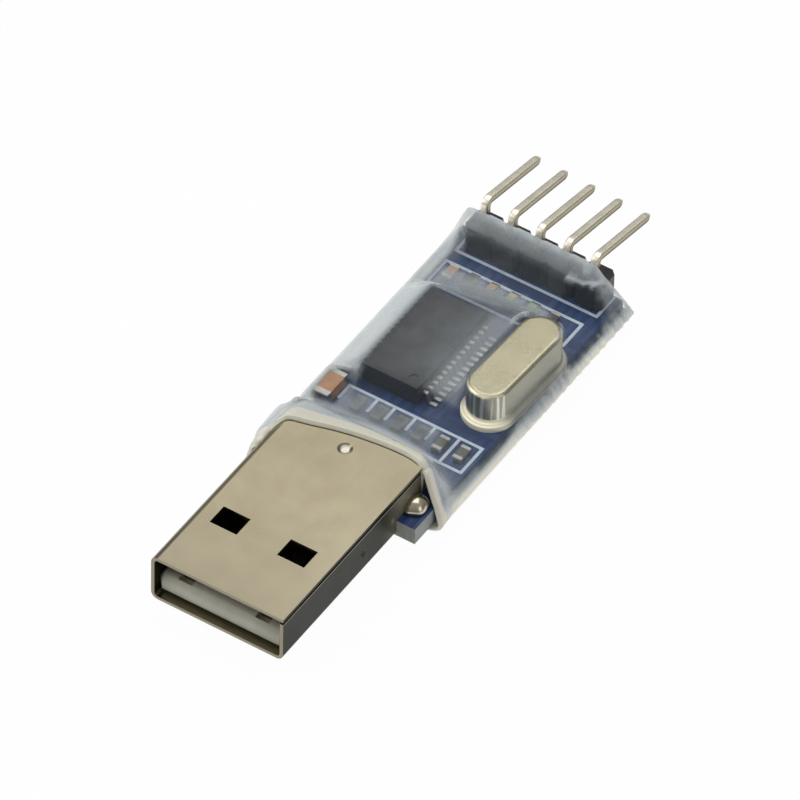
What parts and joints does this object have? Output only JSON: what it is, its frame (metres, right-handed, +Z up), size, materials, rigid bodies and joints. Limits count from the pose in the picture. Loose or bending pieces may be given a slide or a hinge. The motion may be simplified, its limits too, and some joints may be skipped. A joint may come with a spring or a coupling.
{
  "type": "usb to serial adapter module",
  "caption": "Plug-in serial adapter: metal plug, blue circuit board with chip, crystal and lamps in a clear shrink sleeve, and a row of bent header pins.",
  "frame": {"origin": "middle of the lower front edge of the plug: the shell's underside is Z = 0 and its open front end is Y = 0", "axes": "+Y runs back along the module from the plug to the header pins, +X to the right, +Z up out of the board's component side"},
  "size_m": [0.0162, 0.0519, 0.0078],
  "materials": {
    "plug_metal": "nickel plated, smooth, warm tint",
    "plug_plastic": "moulded, off-white",
    "contact_gold": "gold plated",
    "board_blue": "glossy blue solder mask over glass-fibre board",
    "chip_black": "moulded black",
    "tinned_metal": "tin plated",
    "crystal_metal": "drawn can, nickel plated",
    "quartz": "polished quartz",
    "header_black": "moulded black",
    "pin_metal": "tin plated square wire",
    "capacitor_tan": "sintered, tan",
    "resistor_dark": "dark coated",
    "lamp_amber": "clear lens, amber",
    "lamp_yellow": "clear lens, yellow",
    "lamp_green": "clear lens, green",
    "solder": "shiny solder",
    "sleeve_film": "clear, slightly milky heat-shrunk film"
  },
  "bodies": {
    "root": {"big_capacitor_body": "capacitor_tan", "big_capacitor_ends": "tinned_metal", "capacitor_1": "capacitor_tan", "capacitor_2": "capacitor_tan", "capacitor_3": "capacitor_tan", "chip_body": "chip_black", "chip_leads_left": "tinned_metal", "chip_leads_right": "tinned_metal", "circuit_board": "board_blue", "contact_solder": "solder", "crystal_base": "crystal_metal", "crystal_can": "crystal_metal", "crystal_leads": "tinned_metal", "crystal_solder": "solder", "front_row_ends": "tinned_metal", "header_housing": "header_black", "header_pin_1": "pin_metal", "header_pin_2": "pin_metal", "header_pin_3": "pin_metal", "header_pin_4": "pin_metal", "header_pin_5": "pin_metal", "header_solder": "solder", "heat_shrink_sleeve": "sleeve_film", "indicator_lamp_1": "lamp_amber", "indicator_lamp_2": "lamp_yellow", "indicator_lamp_3": "lamp_green", "quartz_strip": "quartz", "rear_row_ends": "tinned_metal", "resistor_1": "resistor_dark", "resistor_2": "resistor_dark", "resistor_3": "resistor_dark", "resistor_4": "resistor_dark", "resistor_5": "resistor_dark", "resistor_6": "resistor_dark", "shell_solder": "solder", "usb_contact_1": "contact_gold", "usb_contact_2": "contact_gold", "usb_contact_3": "contact_gold", "usb_contact_4": "contact_gold", "usb_insulator": "plug_plastic", "usb_shell": "plug_metal"}
  },
  "joints": []
}
